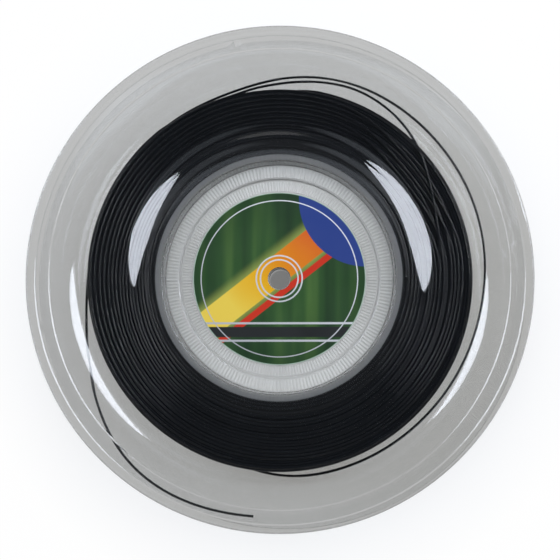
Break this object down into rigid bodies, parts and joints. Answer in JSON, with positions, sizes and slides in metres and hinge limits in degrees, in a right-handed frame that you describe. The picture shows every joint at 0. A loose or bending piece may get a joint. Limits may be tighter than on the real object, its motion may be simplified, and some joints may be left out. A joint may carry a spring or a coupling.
{
  "type": "string reel",
  "caption": "Clear plastic reel of round monofilament: two dished flanges on a ribbed drum, a wound pack, a round label on the hub and a loose last turn with a free end.",
  "frame": {"origin": "centre of the bore, in the plane that the back flange's collar and rim rest on", "axes": "+Z along the bore, from the back flange to the front flange with the label; +Y to the top of the label"},
  "size_m": [0.254, 0.254, 0.036],
  "materials": {
    "clear_plastic": "clear, slightly hazy, glossy moulding",
    "printed_label": "satin printed film with an adhesive back",
    "string": "glossy black monofilament"
  },
  "bodies": {
    "root": {"front_flange": "clear_plastic", "back_flange": "clear_plastic", "drum": "clear_plastic", "front_label": "printed_label", "string_core": "string", "string_outer_turns": "string", "string_flank_strand": "string", "string_tail": "string"}
  },
  "joints": []
}
